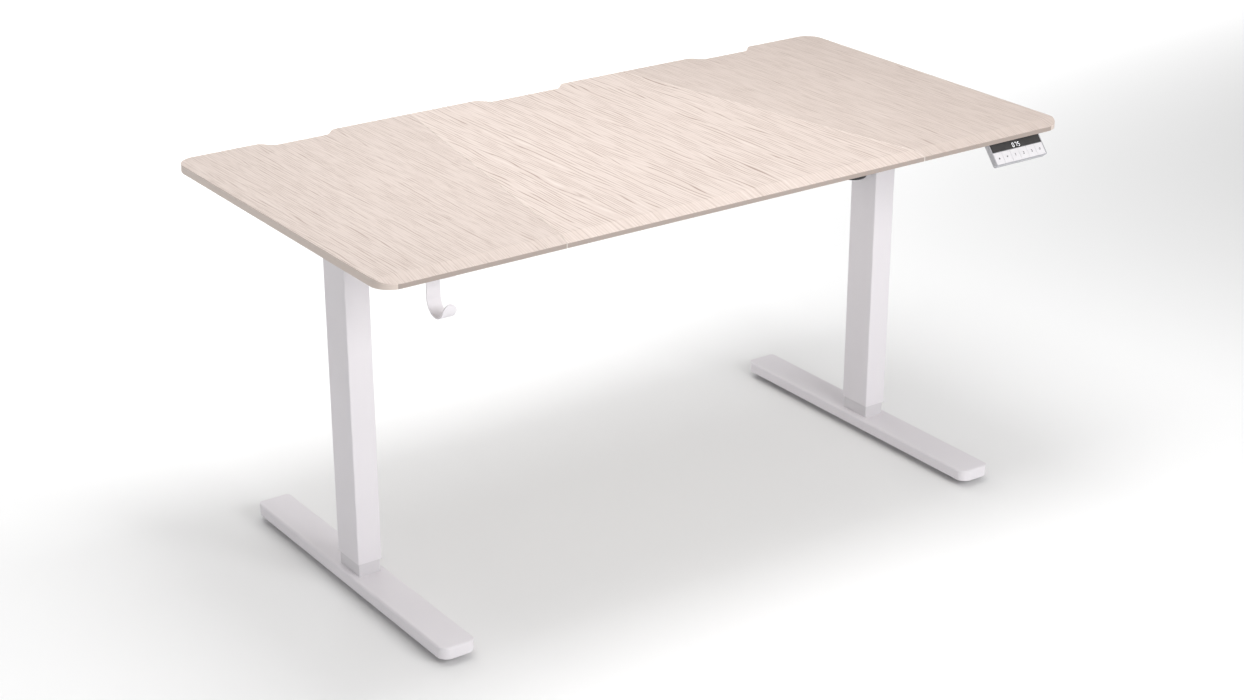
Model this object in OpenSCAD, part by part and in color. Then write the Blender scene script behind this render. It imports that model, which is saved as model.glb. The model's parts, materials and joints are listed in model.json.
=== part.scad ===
/* [Tabletop] */
// Height of the working surface above the floor
desk_h = 750; // [748:1:752]
// Width of the tabletop, left to right
top_w = 1500; // [1490:5:1510]
// Depth of the tabletop, front to back
top_d = 760; // [758:1:764]
// Thickness of the board
top_t = 16; // [15:0.5:17]
// Radius of the tabletop's corners in plan
corner_r = 38; // [20:1:50]
// Width of the sloped strip along the front edge
bevel_w = 28; // [15:1:40]
// How far the front strip slopes down
bevel_drop = 7.3; // [4:0.1:9]
// Distance of each seam from the middle, at half depth
seam_x = 324; // [310:1:330]
// Sideways run of a seam per unit of depth
seam_slope = 0.19; // [0.1:0.01:0.2]
// Depth of the cable notches in the rear edge
notch_d = 24; // [12:1:26]

/* [Legs] */
// Distance of each column's axis from the middle
leg_x = 610; // [600:1:615]
// Outer tube size, left to right
outer_w = 50; // [50:0.5:51]
// Outer tube size, front to back
outer_d = 76; // [74:0.5:77]
// Inner tube size, left to right
inner_w = 45; // [44:0.5:45]
// Inner tube size, front to back
inner_d = 71; // [69:0.5:71]
// Wall of both tubes
tube_t = 1.5; // [1.2:0.1:1.5]
// Height of the outer tube's lower end above the floor
outer_low = 62; // [60:1:66]
// Length of each foot, front to back
foot_l = 704; // [680:2:720]
// Width of each foot
foot_w = 72; // [70:1:76]
// Height of each foot's body
foot_h = 22; // [20:1:22]
// Rounding along the foot's upper edges
foot_round = 5; // [3:0.5:7]

/* [Drive] */
// Radius of the lead screws
screw_r = 7; // [6.5:0.1:7.5]
// Distance across the flats of the drive rod
hex_af = 7; // [6:0.1:7.5]
// Radius of the motor's can
motor_r = 30; // [26:0.5:30]
// Distance of the motor's axis from the middle
motor_x = 553; // [552:0.5:554]

/* [Handset] */
// Width of the handset
hs_w = 131; // [125:1:135]
// Distance of the handset's middle from the desk's middle
hs_x = 649.5; // [645:0.5:655]
// Thickness of the handset's slab
hs_t = 11; // [10:0.5:12]
// Tilt of the handset's face from horizontal
hs_tilt = 51; // [50:0.5:52]

/* [Hook] */
// Distance of the hook's middle from the desk's middle
hook_x = 624; // [600:1:640]
// Width of the hook's strip
hook_w = 26; // [20:1:30]
// Thickness of the hook's strip
hook_t = 2.5; // [2:0.1:3]
// Radius of the hook's bend, to the middle of the strip
hook_r = 25.5; // [22:0.1:26]

/* [Hidden] */
$fn = 64;
eps = 0.01;

white_paint = [0.90, 0.88, 0.90];
board_colour = [0.93, 0.88, 0.84];
steel = [0.75, 0.76, 0.78];
black = [0.10, 0.10, 0.11];
dark = [0.22, 0.22, 0.24];
cream = [0.86, 0.84, 0.78];

// Heights of the frame's layers
under = desk_h - top_t;
pad_t = 3;
web_top = under - pad_t;
sheet = 2.5;
web_low = web_top - sheet;
gearbox_h = 38;
gearbox_low = web_low - gearbox_h;
rod_z = gearbox_low + 18.5;

// Side brackets
bracket_l = 560;
bracket_w = 60;
bracket_low = gearbox_low + 2;
pad_y = [-240, -120, 120, 240];
wood_y = [-255, -100, 100, 255];

// Feet and glides
foot_z = 14;
foot_top = foot_z + foot_h;
foot_corner = 20;
foot_wall = 3;
glide_y = 300;
glide_r = 16;
stem_r = 4;
boss_r = 9;

// Columns
inner_top = 636;
plate_t = 6;
bolt_dx = 13;
bolt_dy = 22;
nut_low = 596;
screw_low = 165;
journal_r = 6;
fit = 0.05;
outer_bore_w = outer_w - 2 * tube_t;
outer_bore_d = outer_d - 2 * tube_t;
plug_low = gearbox_low - 16;
bearing_low = gearbox_low - 12;
bearing_r = 14;

// Bevel gears on the rod and the screws
gear_r = 13;
gear_in = 6;
hub_r = 9;
gear_gap = 0.3;
hex_r = hex_af / 2 / cos(30);

// Drive unit on the rod
case_low = gearbox_low - 4;
wheel_r = 16;
wheel_ratio = 2;
reducer_r = 24;
reducer_low = case_low - 40;
motor_low = 570;
cap_h = 8;

// Beam between the legs
rail_y = 60;
rail_w = 20;
rail_h = 30;
rail_t = 1.5;
rail_low = gearbox_low;
rail_end = leg_x - bracket_w / 2;
rail_lap = 180;

// Control box
box_x = 80;
box_y = 145;
box_l = 230;
box_d = 100;
box_h = 34;

// Handset, in its own tilted frame: u up the face, n out of it
hs_front = 1 - top_d / 2;
hs_low = under - 46;
hs_len = 58;
hs_wall = 2;
key_count = 6;
key_gap = 0.4;
key_h = 24;
key_t = 2.2;
key_u = 2;
window_u = key_u + key_h + 0.8;
panel_w = hs_w - 2 * hs_wall;
key_w = (panel_w - key_gap * (key_count + 1)) / key_count;

// Hook
hook_y = -325.5;
hook_z = under - 52;
tip_rise = 3;

// Joining plates along the seams
plate_l = 120;
plate_w = 40;
plate_y = [-280, -150, 150, 270];
seam_turn = atan(seam_slope);
dowel_y = [-230, -60, 60, 210];

function seam_at(y) = seam_x - seam_slope * y;

// ---- shared shapes ----
module rounded_rect(w, d, r) {
  square([w - 2 * r, d], center = true);
  square([w, d - 2 * r], center = true);
  for (sx = [-1, 1], sy = [-1, 1]) translate([sx * (w / 2 - r), sy * (d / 2 - r)]) circle(r);
}

module along_x(x0, x1) {
  translate([x0, 0, 0]) rotate([90, 0, 90]) linear_extrude(x1 - x0) children();
}

module rod_x(r, x0, x1) {
  translate([x0, 0, 0]) rotate([0, 90, 0]) cylinder(r = r, h = x1 - x0);
}

module tube_frame(w, d, t, z0, z1) {
  translate([0, 0, z0]) difference() {
    linear_extrude(z1 - z0) rounded_rect(w, d, 2.5);
    translate([0, 0, -1]) linear_extrude(z1 - z0 + 2) rounded_rect(w - 2 * t, d - 2 * t, 1);
  }
}

// ---- tabletop ----
module notch(x, open_w, floor_w) {
  rear = top_d / 2;
  polygon([[x - open_w / 2 - 6, rear + 1], [x - open_w / 2, rear - 1], [x - floor_w / 2 - 4, rear - notch_d + 2],
    [x - floor_w / 2 + 4, rear - notch_d], [x + floor_w / 2 - 4, rear - notch_d],
    [x + floor_w / 2 + 4, rear - notch_d + 2], [x + open_w / 2, rear - 1], [x + open_w / 2 + 6, rear + 1]]);
}

module board() {
  half = top_d / 2;
  difference() {
    intersection() {
      translate([0, 0, under]) linear_extrude(top_t) difference() {
        rounded_rect(top_w, top_d, corner_r);
        notch(-500, 158, 100);
        notch(0, 204, 146);
        notch(500, 158, 100);
      }
      along_x(-top_w / 2 - 1, top_w / 2 + 1) polygon([[-half - 1, under - 1], [half + 1, under - 1],
        [half + 1, desk_h], [bevel_w - half, desk_h], [-half, desk_h - bevel_drop],
        [-half - 1, desk_h - bevel_drop]]);
    }
    dowel_set(4, 15.5);
  }
}

module dowel_set(r, half_len) {
  for (s = [-1, 1], y = dowel_y)
    translate([s * seam_at(y), y, under + 7.5]) rotate([0, 0, s * seam_turn])
      rod_x(r, -half_len, half_len);
}

// Middle panel's outline; the outer panels are what lies beyond it
module middle_zone(gap) {
  far = top_d;
  linear_extrude(desk_h + 10) polygon([[-seam_at(-far) + gap, -far], [seam_at(-far) - gap, -far],
    [seam_at(far) - gap, far], [-seam_at(far) + gap, far]]);
}

module side_panel(s) {
  color(board_colour) difference() {
    intersection() {
      board();
      translate([s > 0 ? 0 : -top_w, -top_d, 0]) cube([top_w, 2 * top_d, desk_h + 5]);
    }
    middle_zone(-0.1);
  }
}

module tabletop_left() side_panel(-1);
module tabletop_right() side_panel(1);
module tabletop_middle() {
  color(board_colour) intersection() {
    board();
    middle_zone(0.1);
  }
}

module joint_dowels() color([0.80, 0.66, 0.46]) dowel_set(4, 15);

module at_plates() {
  for (s = [-1, 1], y = plate_y) translate([s * seam_at(y), y, 0]) rotate([0, 0, s * seam_turn]) children();
}

module joining_plates() {
  color(steel) at_plates() difference() {
    translate([0, 0, under - 2.5]) linear_extrude(2.5) rounded_rect(plate_l, plate_w, 6);
    for (dx = [-45, -20, 20, 45]) translate([dx, 0, under - 5]) cylinder(r = 2.4, h = 6);
  }
}

// ---- fasteners into the board, each with a pan head below it ----
module wood_screw(head_z, reach) {
  translate([0, 0, head_z - 2.5]) difference() {
    cylinder(r = 4, h = 2.5);
    translate([-2.6, -0.5, -1]) cube([5.2, 1, 2]);
    translate([-0.5, -2.6, -1]) cube([1, 5.2, 2]);
  }
  translate([0, 0, head_z - eps]) cylinder(r = 1.9, h = reach);
}

module wood_screws() {
  color(steel) {
    at_plates() for (dx = [-45, -20, 20, 45]) translate([dx, 0, 0]) wood_screw(under - 2.5, 12);
    for (s = [-1, 1], y = wood_y) translate([s * leg_x, y, 0]) wood_screw(web_low, 17);
    for (dx = [-1, 1], dy = [-1, 1]) translate([box_x + dx * (box_l / 2 + 8), box_y + dy * 30, 0])
      wood_screw(under - 3, 12);
    for (dx = [-40, 40]) translate([hs_x + dx, hs_front + 62, 0]) wood_screw(under - 3, 12);
    for (dy = [-16, -36]) translate([-hook_x, hook_y + dy, 0]) wood_screw(under - hook_t, 12);
  }
}

// ---- frame under the top ----
module side_bracket(s) {
  wall = sheet;
  color(white_paint) translate([s * leg_x, 0, 0]) difference() {
    translate([-bracket_w / 2, -bracket_l / 2, bracket_low]) cube([bracket_w, bracket_l, web_top - bracket_low]);
    translate([-bracket_w / 2 + wall, -bracket_l / 2 - 1, bracket_low - 1])
      cube([bracket_w - 2 * wall, bracket_l + 2, web_low - bracket_low + 1]);
    for (y = [-1, 1]) translate([0, y * bracket_l / 2, bracket_low]) rotate([0, 90, 0])
      translate([0, 0, -bracket_w]) cylinder(r = 22, h = 2 * bracket_w);
    translate([0, 0, rod_z]) rod_x(12, -s * bracket_w / 2 - 5, -s * bracket_w / 2 + 5);
    for (y = wood_y) translate([0, y, web_low - 1]) cylinder(r = 2.4, h = sheet + 2);
    for (y = pad_y) translate([0, y, web_low - 1]) cylinder(r = 3, h = sheet + 2);
    for (dx = [-15, 15], dy = [-28, 28]) translate([dx, dy, web_low - 1]) cylinder(r = 3.2, h = sheet + 2);
    for (dy = [-1, 1]) translate([-s * bracket_w / 2 - 5, dy * rail_y, rail_low + rail_h / 2])
      rotate([0, 90, 0]) cylinder(r = 3.2, h = 10);
  }
}

module side_bracket_left() side_bracket(-1);
module side_bracket_right() side_bracket(1);

module bracket_pads() {
  color(dark) for (s = [-1, 1], y = pad_y) translate([s * leg_x, y, 0]) {
    translate([0, 0, web_top]) cylinder(r = 12, h = pad_t);
    translate([0, 0, web_low - 2]) cylinder(r = 2.9, h = sheet + 2 + eps);
    translate([0, 0, web_low - 3.5]) cylinder(r1 = 2.9, r2 = 4.2, h = 2);
  }
}

module bracket_bolts() {
  color(steel) {
    for (s = [-1, 1], dx = [-15, 15], dy = [-28, 28]) translate([s * leg_x + dx, dy, 0]) {
      translate([0, 0, web_top]) cylinder(r = 5.5, h = 2.6);
      translate([0, 0, web_top - 14]) cylinder(r = 3, h = 14 + eps);
    }
    for (s = [-1, 1], dy = [-1, 1]) translate([0, dy * rail_y, rail_low + rail_h / 2]) {
      rod_x(3, s > 0 ? rail_end - 10 : -rail_end - sheet, s > 0 ? rail_end + sheet : 10 - rail_end);
      rod_x(5.2, s > 0 ? rail_end + sheet : -rail_end - sheet - 3.4, s > 0 ? rail_end + sheet + 3.4 : -rail_end - sheet);
    }
  }
}

// One pair of rails, with a welded end plate at the bracket
module rail_pair(w, h, t, x0, x1, plate_x) {
  for (dy = [-1, 1]) translate([0, dy * rail_y, rail_low + rail_h / 2]) {
    difference() {
      translate([x0, -w / 2, -h / 2]) cube([x1 - x0, w, h]);
      translate([x0 - 1, -w / 2 + t, -h / 2 + t]) cube([x1 - x0 + 2, w - 2 * t, h - 2 * t]);
      rail_holes();
    }
    difference() {
      translate([plate_x, -rail_w / 2, -rail_h / 2]) cube([3, rail_w, rail_h]);
      rod_x(3.2, plate_x - 1, plate_x + 4);
    }
  }
}

module rail_holes() {
  for (x = [-60, 60]) translate([x, 0, -rail_h / 2 - 1]) cylinder(r = 3.2, h = 12);
}

module beam_outer_rails() {
  color(white_paint) rail_pair(rail_w, rail_h, rail_t, 3 - rail_end - eps, rail_lap / 2, -rail_end);
}

module beam_inner_rails() {
  color(white_paint)
    rail_pair(rail_w - 2 * rail_t - 0.6, rail_h - 2 * rail_t - 0.6, rail_t, -rail_lap / 2, rail_end - 3 + eps, rail_end - 3);
}

module beam_screws() {
  color(steel) for (x = [-60, 60], dy = [-1, 1]) translate([x, dy * rail_y, rail_low]) {
    translate([0, 0, -3.2]) cylinder(r = 5.2, h = 3.2);
    cylinder(r = 3, h = 8);
  }
}

// ---- legs ----
module foot_solid(inset) {
  w = foot_w - 2 * inset;
  l = foot_l - 2 * inset;
  h = foot_h - inset;
  r = foot_round - inset / 2;
  translate([0, 0, foot_z]) intersection() {
    linear_extrude(h) rounded_rect(w, l, foot_corner - inset);
    translate([0, l / 2 + 1, 0]) rotate([90, 0, 0]) linear_extrude(l + 2) crown(w, h, r);
    along_x(-w / 2 - 1, w / 2 + 1) crown(l, h, r);
  }
}

// A bar's section with its two upper corners rounded
module crown(w, h, r) {
  translate([-w / 2, 0]) square([w, h - r]);
  translate([r - w / 2, 0]) square([w - 2 * r, h]);
  for (s = [-1, 1]) translate([s * (w / 2 - r), h - r]) circle(r);
}

module foot(s) {
  color(white_paint) translate([s * leg_x, 0, 0]) difference() {
    union() {
      difference() {
        foot_solid(0);
        translate([0, 0, -eps]) foot_solid(foot_wall);
      }
      for (y = [-1, 1]) translate([0, y * glide_y, foot_z]) cylinder(r = boss_r, h = foot_h - 1);
      translate([-foot_w / 2 + 1, -50, foot_top - 9]) cube([foot_w - 2, 100, 6.5]);
    }
    for (y = [-1, 1]) translate([0, y * glide_y, foot_z - 1]) cylinder(r = stem_r + fit, h = foot_h - 3);
    for (dx = [-1, 1], dy = [-1, 1]) translate([dx * bolt_dx, dy * bolt_dy, 0]) cylinder(r = 3.3, h = 60);
  }
}

module foot_left() foot(-1);
module foot_right() foot(1);

module foot_bolts(s) {
  color(steel) for (dx = [-1, 1], dy = [-1, 1]) translate([s * leg_x + dx * bolt_dx, dy * bolt_dy, 0]) {
    translate([0, 0, foot_top - 12]) cylinder(r = 5.5, h = 3);
    translate([0, 0, foot_top - 9 - eps]) cylinder(r = 3, h = 9 + plate_t);
  }
}

module foot_bolts_left() foot_bolts(-1);
module foot_bolts_right() foot_bolts(1);

module glide(s, y) {
  color(dark) translate([s * leg_x, y * glide_y, 0]) {
    cylinder(r1 = glide_r - 1.5, r2 = glide_r, h = 2.5);
    translate([0, 0, 2.5 - eps]) cylinder(r = glide_r, h = 6);
    translate([0, 0, 8.5 - 2 * eps]) cylinder(r1 = glide_r, r2 = 9, h = 3.5);
    translate([0, 0, 11]) cylinder(r = stem_r, h = 18);
  }
}

module glide_left_front() glide(-1, -1);
module glide_left_rear() glide(-1, 1);
module glide_right_front() glide(1, -1);
module glide_right_rear() glide(1, 1);

module inner_tube(s) {
  color(white_paint) translate([s * leg_x, 0, 0]) {
    tube_frame(inner_w, inner_d, tube_t, foot_top, inner_top);
    difference() {
      translate([0, 0, foot_top]) linear_extrude(plate_t)
        rounded_rect(inner_w - 2 * tube_t + 2 * eps, inner_d - 2 * tube_t + 2 * eps, 1);
      for (dx = [-1, 1], dy = [-1, 1]) translate([dx * bolt_dx, dy * bolt_dy, foot_top - 1]) cylinder(r = 3 + fit, h = 10);
    }
  }
}

module inner_tube_left() inner_tube(-1);
module inner_tube_right() inner_tube(1);

module screw_nut(s) {
  color(cream) translate([s * leg_x, 0, 0]) difference() {
    union() {
      translate([0, 0, nut_low + 10]) linear_extrude(inner_top - nut_low - 10)
        rounded_rect(inner_w - 2 * tube_t, inner_d - 2 * tube_t, 1);
      translate([0, 0, nut_low]) cylinder(r = 14, h = 12);
    }
    translate([0, 0, nut_low - 1]) cylinder(r = screw_r + fit, h = inner_top - nut_low + 2);
  }
}

module screw_nut_left() screw_nut(-1);
module screw_nut_right() screw_nut(1);

module slide_cap(s) {
  color(cream) translate([s * leg_x, 0, 0]) difference() {
    union() {
      translate([0, 0, inner_top]) linear_extrude(4) rounded_rect(outer_bore_w - 0.3, outer_bore_d - 0.3, 1.5);
      tube_frame(outer_bore_w - 0.3, outer_bore_d - 0.3, (outer_bore_w - 0.3 - inner_w) / 2, inner_top - 26, inner_top + eps);
    }
    translate([0, 0, inner_top - 1]) cylinder(r = screw_r + 2, h = 6);
    translate([0, 0, inner_top - 27]) linear_extrude(27) rounded_rect(inner_w, inner_d, 2.5);
  }
}

module slide_cap_left() slide_cap(-1);
module slide_cap_right() slide_cap(1);

module outer_tube(s) {
  color(white_paint) translate([s * leg_x, 0, 0]) tube_frame(outer_w, outer_d, tube_t, outer_low, gearbox_low);
}

module outer_tube_left() outer_tube(-1);
module outer_tube_right() outer_tube(1);

module guide_collars() {
  color(cream) for (s = [-1, 1]) translate([s * leg_x, 0, outer_low + 1]) difference() {
    linear_extrude(34) rounded_rect(outer_bore_w, outer_bore_d, 1);
    translate([0, 0, -1]) linear_extrude(36) rounded_rect(inner_w + 0.4, inner_d + 0.4, 2.4);
  }
}

// ---- drive ----
module gearbox(s) {
  color(black) translate([s * leg_x, 0, 0]) difference() {
    union() {
      translate([0, 0, gearbox_low]) linear_extrude(gearbox_h) rounded_rect(50, 72, 3);
      translate([0, 0, plug_low]) linear_extrude(gearbox_low - plug_low + eps)
        rounded_rect(outer_bore_w, outer_bore_d, 1);
    }
    translate([-16, -15, gearbox_low + 1.5]) cube([37, 30, gearbox_h - 4]);
    translate([0, 0, bearing_low]) cylinder(r = bearing_r, h = 9);
    translate([0, 0, plug_low - 1]) cylinder(r = screw_r + 1, h = 40);
    translate([0, 0, gearbox_low - 4]) cylinder(r = hub_r + 1, h = 10);
    translate([0, 0, rod_z]) rod_x(hub_r + fit, 10, 27);
    translate([0, 0, rod_z]) rod_x(6, -27, 10);
    for (dx = [-15, 15], dy = [-28, 28]) translate([dx, dy, web_low - 12]) cylinder(r = 3 + fit, h = 14);
  }
}

module gearbox_left() gearbox(-1);
module gearbox_right() gearbox(1);

module screw_bearings() {
  color(steel) for (s = [-1, 1]) translate([s * leg_x, 0, bearing_low]) rotate_extrude()
    polygon([[journal_r + fit, 0], [bearing_r, 0], [bearing_r, 9], [journal_r + fit, 9],
      [journal_r + fit, 7.5], [8.5, 8], [11, 8], [11, 1], [8.5, 1], [journal_r + fit, 1.5]]);
}

// A bevel gear with its apex at the origin and its back at height -far
module bevel(far, big, near, teeth) {
  small = big * near / far;
  slant = norm([big - small, far - near]);
  difference() {
    translate([0, 0, -far]) cylinder(r1 = big - gear_gap, r2 = small - gear_gap, h = far - near);
    for (i = [0:teeth - 1]) rotate([0, 0, (i + 0.5) * 360 / teeth])
      translate([big - gear_gap, 0, -far]) rotate([0, -atan((big - small) / (far - near)), 0])
        translate([-1.1, -0.5, -1]) cube([4, 1, slant + 1.6]);
  }
}

module lead_screw(s) {
  color(steel) translate([s * leg_x, 0, 0]) {
    translate([0, 0, screw_low]) cylinder(r1 = screw_r - 1, r2 = screw_r, h = 1);
    translate([0, 0, screw_low + 1 - eps]) cylinder(r = screw_r, h = plug_low - screw_low - 1);
    translate([0, 0, plug_low - 2 * eps]) cylinder(r = journal_r, h = rod_z - gear_in - plug_low - 2);
    translate([0, 0, gearbox_low - 2.5]) cylinder(r = hub_r, h = rod_z - gear_r - gearbox_low + 2.5 + eps);
    translate([0, 0, rod_z]) bevel(gear_r, gear_r, gear_in, 12);
  }
}

module lead_screw_left() lead_screw(-1);
module lead_screw_right() lead_screw(1);

module on_rod(x) translate([x, 0, rod_z]) rotate([0, -90, 0]) children();

module hex_rod() {
  color(steel) translate([-leg_x - 24, 0, rod_z]) rotate([0, 90, 0]) cylinder(r = hex_r, h = 2 * leg_x + 50, $fn = 6);
}

module rod_gears() {
  color(steel) for (s = [-1, 1]) on_rod(s * leg_x) difference() {
    union() {
      rotate([0, 0, 15]) bevel(gear_r, gear_r, gear_in, 12);
      translate([0, 0, -26]) cylinder(r = hub_r, h = 26 - gear_r + eps);
    }
    hex_bore(30);
  }
}

module hex_bore(len) translate([0, 0, -len]) cylinder(r = hex_r + 0.001, h = 2 * len, $fn = 6);

module drive_wheel() {
  color(steel) on_rod(motor_x) difference() {
    union() {
      bevel(wheel_r / wheel_ratio, wheel_r, wheel_r / wheel_ratio / 2, 20);
      translate([0, 0, -26]) cylinder(r = hub_r, h = 26 - wheel_r / wheel_ratio + eps);
    }
    hex_bore(30);
  }
}

module motor_pinion() {
  color(steel) {
    translate([motor_x, 0, rod_z]) bevel(wheel_r, wheel_r / wheel_ratio, wheel_r / 2, 10);
    translate([motor_x, 0, reducer_low + 20]) cylinder(r = 4, h = rod_z - wheel_r - reducer_low - 20 + eps);
  }
}

module drive_case() {
  color(black) translate([motor_x, 0, 0]) difference() {
    translate([-25, 0, case_low]) linear_extrude(web_low - case_low) translate([26, 0]) rounded_rect(52, 56, 4);
    translate([-20, -19, case_low + 4]) cube([41, 38, web_low - case_low - 7]);
    translate([0, 0, case_low - 1]) cylinder(r = 4 + fit, h = 10);
    translate([0, 0, rod_z]) rod_x(hub_r + fit, 15, 30);
    translate([0, 0, rod_z]) rod_x(6, -30, 0);
  }
}

module reducer_case() {
  color(dark) translate([motor_x, 0, 0]) difference() {
    union() {
      translate([0, 0, reducer_low]) cylinder(r = reducer_r, h = case_low - reducer_low);
      translate([0, 0, case_low - 4]) cylinder(r = motor_r - 2, h = 4);
      translate([0, 0, reducer_low]) cylinder(r = motor_r - 2, h = 4);
    }
    translate([0, 0, reducer_low + 4]) cylinder(r = reducer_r - 3, h = case_low - reducer_low - 8);
    translate([0, 0, case_low - 5]) cylinder(r = 4 + fit, h = 6);
  }
}

module motor_can() {
  color(black) translate([motor_x, 0, 0]) difference() {
    translate([0, 0, motor_low + cap_h]) cylinder(r = motor_r, h = reducer_low - motor_low - cap_h);
    translate([0, 0, motor_low + cap_h - 1]) cylinder(r = motor_r - 2, h = reducer_low - motor_low - cap_h - 2);
  }
}

module motor_end_cap() {
  color(black) translate([motor_x, 0, motor_low]) rotate_extrude()
    polygon([[0, 0], [motor_r - 4, 0], [motor_r - 1.2, 1.2], [motor_r, 4], [motor_r, cap_h],
      [motor_r - 2 - eps, cap_h], [motor_r - 2 - eps, cap_h + 4], [0, cap_h + 4]]);
}

// ---- control box ----
module control_box_cover() {
  color(black) translate([box_x, box_y, under - box_h]) difference() {
    intersection() {
      linear_extrude(box_h - 3) rounded_rect(box_l, box_d, 6);
      along_x(-box_l, box_l) polygon([[-box_d / 2, 4], [4 - box_d / 2, 0], [box_d / 2 - 4, 0],
        [box_d / 2, 4], [box_d / 2, box_h], [-box_d / 2, box_h]]);
    }
    translate([0, 0, 2.5]) linear_extrude(box_h) rounded_rect(box_l - 5, box_d - 5, 4);
    translate([-60, box_d / 2 - 5, 6]) cube([28, 10, 20]);
    translate([20, -box_d / 2 - 1, box_h - 13]) cube([14, 6, 8]);
    translate([box_l / 2 - 5, -30, box_h - 14]) cube([8, 16, 8]);
  }
}

module control_box_base() {
  color(black) translate([box_x, box_y, under - 3]) difference() {
    linear_extrude(3) {
      rounded_rect(box_l, box_d, 6);
      for (dy = [-30, 30]) translate([0, dy]) rounded_rect(box_l + 36, 20, 6);
    }
    for (dx = [-1, 1], dy = [-30, 30]) translate([dx * (box_l / 2 + 8), dy, -1]) cylinder(r = 2.4, h = 5);
  }
}

module mains_inlet() {
  color(dark) translate([box_x - 46, box_y + box_d / 2, under - box_h + 16]) difference() {
    union() {
      translate([-13.8, -18, -9.8]) cube([27.6, 18.5, 19.6]);
      translate([-16, 0, -11.5]) cube([32, 2, 23]);
    }
    translate([-11, -12, -7]) cube([22, 20, 14]);
  }
  color(steel) translate([box_x - 46, box_y + box_d / 2, under - box_h + 16])
    for (dx = [-6, 0, 6]) translate([dx - 1, -13, dx == 0 ? 0.5 : -4]) cube([2, 9, 3]);
}

// ---- handset ----
module on_handset() translate([hs_x, hs_front, hs_low]) rotate([hs_tilt, 0, 0]) children();

module handset_case() {
  color([0.82, 0.82, 0.84]) difference() {
    union() {
      intersection() {
        on_handset() translate([0, hs_len / 2, -hs_t]) linear_extrude(hs_t) rounded_rect(hs_w, hs_len, 4);
        translate([0, -top_d, 0]) cube([top_w / 2, top_d, under]);
      }
      translate([hs_x - hs_w / 2 + 12, hs_front + 28, under - 18]) cube([hs_w - 24, 18, 18]);
      translate([hs_x - hs_w / 2 + 12, hs_front + 40, under - 3]) cube([hs_w - 24, 34, 3]);
    }
    on_handset() {
      translate([-panel_w / 2, key_u - 0.4, -5]) cube([panel_w, key_h + 0.8, 8]);
      translate([-panel_w / 2, window_u - eps, -1.6]) cube([panel_w, 27, 8]);
      translate([-panel_w / 2, hs_wall, -hs_t + hs_wall]) cube([panel_w, 46, hs_t - hs_wall - 4.9]);
    }
    for (dx = [-40, 40]) translate([hs_x + dx, hs_front + 62, under - 5]) cylinder(r = 2.4, h = 6);
    translate([hs_x - 46, hs_front + 44, under - 10]) rotate([-90, 0, 0]) cylinder(r = 2.2, h = 4);
  }
}

module handset_display() {
  color([0.03, 0.03, 0.04]) on_handset()
    translate([-panel_w / 2 + 0.2, window_u + 0.2, -1.6]) cube([panel_w - 0.4, 26.4, 1.6]);
}

module handset_board() {
  color([0.10, 0.35, 0.20]) on_handset()
    translate([-panel_w / 2 + 2, 4, -8.6]) cube([panel_w - 4, 42, 1.6]);
}

module key(i) {
  color([0.88, 0.88, 0.90]) on_handset()
    translate([-panel_w / 2 + key_gap + i * (key_w + key_gap), key_u, -key_t]) cube([key_w, key_h, key_t]);
}

module key_up() key(0);
module key_down() key(1);
module key_one() key(2);
module key_two() key(3);
module key_three() key(4);
module key_save() key(5);

// ---- leads held under the top ----
lead_r = 2;
lead_z = under - lead_r - 0.2;
handset_route = [[603.5, -334.5, 724], [603.5, -322, 724], [603, -310, 725], [599, -300, 728.5], [588, -294, lead_z],
  [570, -290, lead_z], [545, -285, lead_z], [500, -268, lead_z], [450, -245, lead_z], [390, -222, lead_z],
  [320, -205, lead_z], [270, -180, lead_z], [230, -130, lead_z], [190, -50, lead_z], [150, 30, lead_z],
  [124, 72, lead_z], [112, 84, 729], [108, 90, 725.5], [107, 94, 725], [107, 97, 725]];
clip_points = [7, 9, 12, 14];
clip_play = 0.5;
motor_route = [[527.9, 12, 722], [518, 12, 722], [505, 16, 724], [490, 26, 728], [476, 44, 729.5],
  [458, 64, 729.5], [430, 84, 729.5], [380, 98, 729.5], [320, 106, 729.5], [260, 110, 729],
  [235, 114, 727], [215, 120, 724.5], [203, 123, 724], [192, 123, 724]];

function unit(v) = v / norm(v);
function side(v) = unit(cross(v, [0, 0, 1]));
function clip_turn(i) = let (d = route_dir(handset_route, i)) atan2(d[1], d[0]);
function route_dir(p, i) = unit(p[min(i + 1, len(p) - 1)] - p[max(i - 1, 0)]);

module lead(p, r) {
  n = 8;
  last = len(p) - 1;
  rings = [for (i = [0:last]) let (d = route_dir(p, i), a = side(d), b = cross(d, a))
    for (j = [0:n - 1]) p[i] + r * (cos(j * 360 / n) * a + sin(j * 360 / n) * b)];
  walls = [for (i = [0:last - 1], j = [0:n - 1]) [i * n + j, i * n + (j + 1) % n,
    (i + 1) * n + (j + 1) % n, (i + 1) * n + j]];
  polyhedron(rings, concat([[for (j = [n - 1:-1:0]) j]], walls, [[for (j = [0:n - 1]) last * n + j]]));
}

module handset_lead() color(dark) lead(handset_route, lead_r);
module motor_lead() color(dark) lead(motor_route, 2.6);

module lead_clips() {
  color(dark) for (i = clip_points) translate(handset_route[i]) rotate([0, 0, clip_turn(i)]) difference() {
    translate([-4, -7, -3.6]) cube([8, 14, under - lead_z + 3.6]);
    translate([-5, -lead_r - clip_play, -lead_r - clip_play]) cube([10, 2 * (lead_r + clip_play), 10]);
  }
}

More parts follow.
